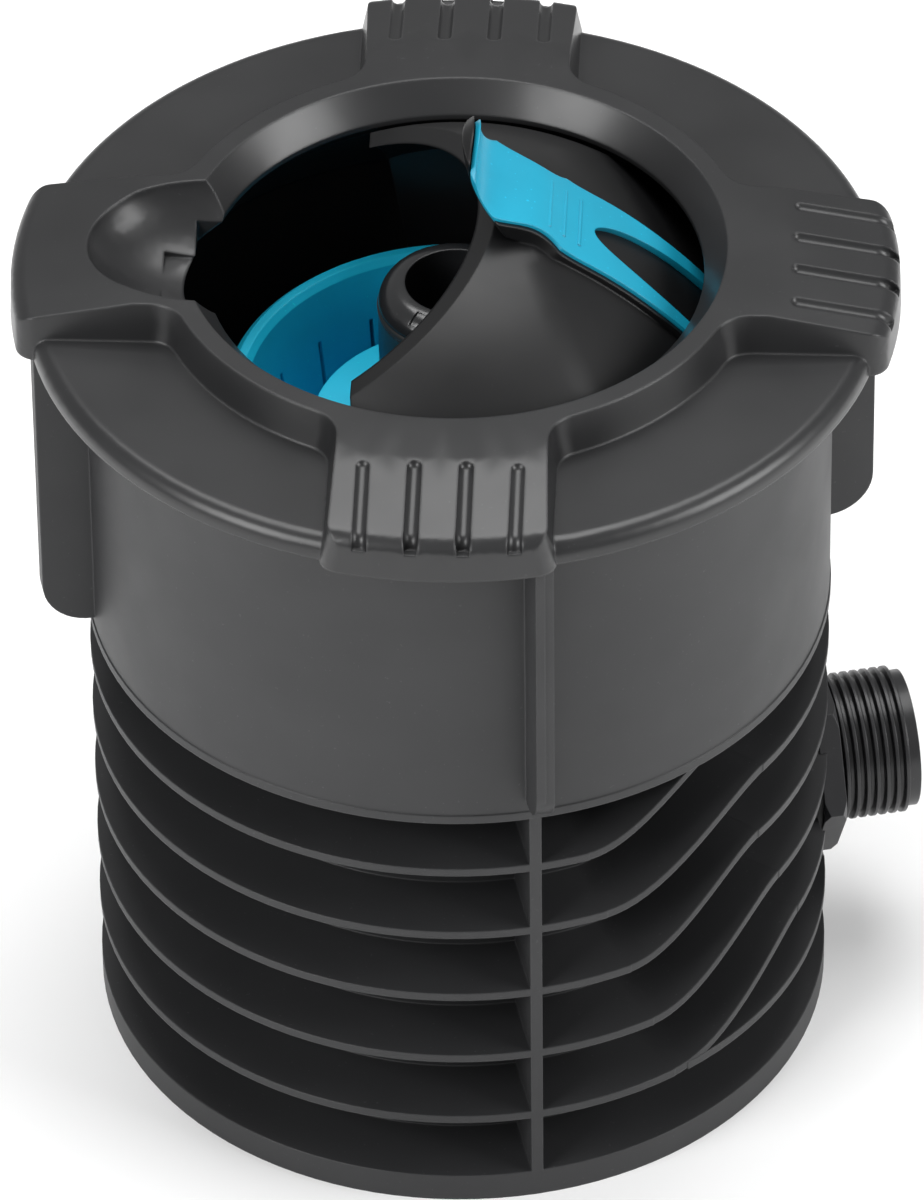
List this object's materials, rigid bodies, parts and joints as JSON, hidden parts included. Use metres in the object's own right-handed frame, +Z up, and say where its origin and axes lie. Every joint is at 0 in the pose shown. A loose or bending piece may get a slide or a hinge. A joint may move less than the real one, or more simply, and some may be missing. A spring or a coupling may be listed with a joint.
{
  "type": "garden water connector box",
  "caption": "Ribbed in-ground water connector box with a grip collar, a swinging ball lid with a blue strip, a dirt sieve, a valve spigot and a threaded side inlet.",
  "frame": {"origin": "centre of the housing's base, on the face it stands on", "axes": "+Z up through the spigot and the lid opening, +X along the inlet nipple, away from the housing"},
  "size_m": [0.1578, 0.153, 0.1887],
  "materials": {
    "housing_plastic": "matte moulded",
    "collar_plastic": "satin moulded",
    "lid_plastic": "satin moulded",
    "fitting_plastic": "satin moulded",
    "spigot_plastic": "gloss moulded",
    "blue_plastic": "satin moulded",
    "rubber": "matte",
    "steel": "brushed",
    "brass": "machined"
  },
  "bodies": {
    "base": {"housing": "housing_plastic", "inlet_elbow": "fitting_plastic", "inlet_lock_nut": "fitting_plastic", "inlet_gasket": "rubber", "riser_screws": "steel", "riser_gasket": "rubber", "spigot": "spigot_plastic", "spigot_o_ring": "rubber", "spigot_union_nut": "fitting_plastic", "spring_retainer": "brass", "dirt_sieve": "blue_plastic", "valve_spring": "steel"},
    "collar_ring": {"collar": "collar_plastic", "lid_carrier": "collar_plastic", "carrier_screws": "steel", "lid_pin_left": "steel", "lid_pin_right": "steel", "lid_washer_left": "rubber", "lid_washer_right": "rubber"},
    "lid": {"ball_lid": "lid_plastic", "lid_grip": "blue_plastic"},
    "plunger": {"valve_plunger": "fitting_plastic", "valve_seal": "rubber"}
  },
  "joints": [
    {"name": "collar_turn", "type": "hinge", "parent": "base", "child": "collar_ring", "pos_m": [0, 0, 0.152], "axis": [0, 0, 1], "range_deg": [0, 28]},
    {"name": "lid_pivot", "type": "hinge", "parent": "collar_ring", "child": "lid", "pos_m": [0, 0, 0.11103], "axis": [0.2419, 0.9703, 0], "range_deg": [-52.5, 12.5]},
    {"name": "valve_travel", "type": "slide", "parent": "base", "child": "plunger", "axis": [0, 0, -1], "range_m": [0, 0.004], "stiffness_N_per_m": 500, "springref_m": -0.004, "deforming": ["valve_spring"]}
  ]
}
